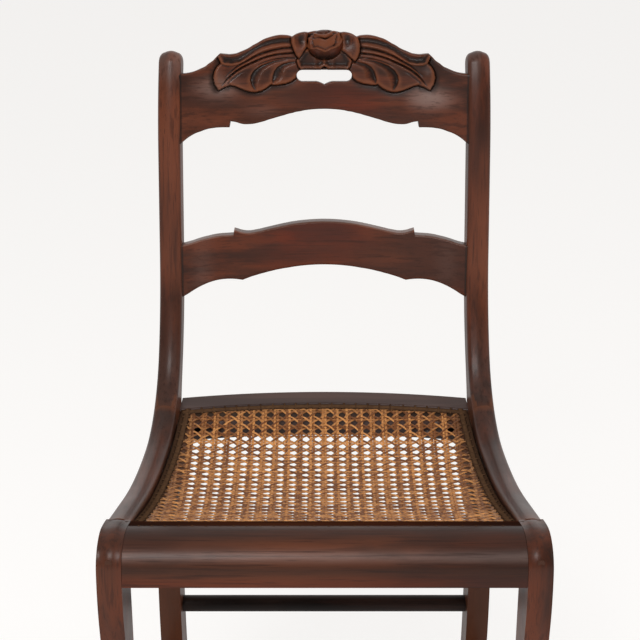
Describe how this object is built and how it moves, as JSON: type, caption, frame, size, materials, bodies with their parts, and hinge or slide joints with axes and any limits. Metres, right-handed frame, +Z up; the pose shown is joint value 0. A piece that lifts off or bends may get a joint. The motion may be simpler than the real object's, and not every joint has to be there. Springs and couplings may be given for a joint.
{
  "type": "side chair",
  "caption": "Wooden side chair with sabre legs, S-curved sides, a carved rose-and-leaf crest rail with a handhold, a scalloped slat and a caned seat.",
  "frame": {"origin": "on the floor, under the middle of the chair's bounding box", "axes": "+Z up, the chair's front faces -Y, +X points to the right as the chair is seen from its front"},
  "size_m": [0.4458, 0.4516, 0.8738],
  "materials": {
    "polished_wood": "polished dark reddish brown wood",
    "stretcher_wood": "dark brown wood, dull",
    "inner_wood": "unpolished brown wood",
    "dowel_wood": "dark end grain",
    "cane": "golden brown cane, satin"
  },
  "bodies": {
    "root": {"cane_seat": "cane", "crest_rail": "polished_wood", "front_cane_binder": "cane", "front_seat_rail": "polished_wood", "front_stretcher": "stretcher_wood", "left_back_post": "polished_wood", "left_cane_binder": "cane", "left_cane_rail": "inner_wood", "left_corner_block": "inner_wood", "left_front_leg": "polished_wood", "left_rail_dowels": "dowel_wood", "left_side_rail": "polished_wood", "left_side_stretcher": "stretcher_wood", "middle_slat": "polished_wood", "rear_cane_binder": "cane", "rear_seat_rail": "polished_wood", "rear_stretcher": "stretcher_wood", "right_back_post": "polished_wood", "right_cane_binder": "cane", "right_cane_rail": "inner_wood", "right_corner_block": "inner_wood", "right_front_leg": "polished_wood", "right_rail_dowels": "dowel_wood", "right_side_rail": "polished_wood", "right_side_stretcher": "stretcher_wood"}
  },
  "joints": []
}
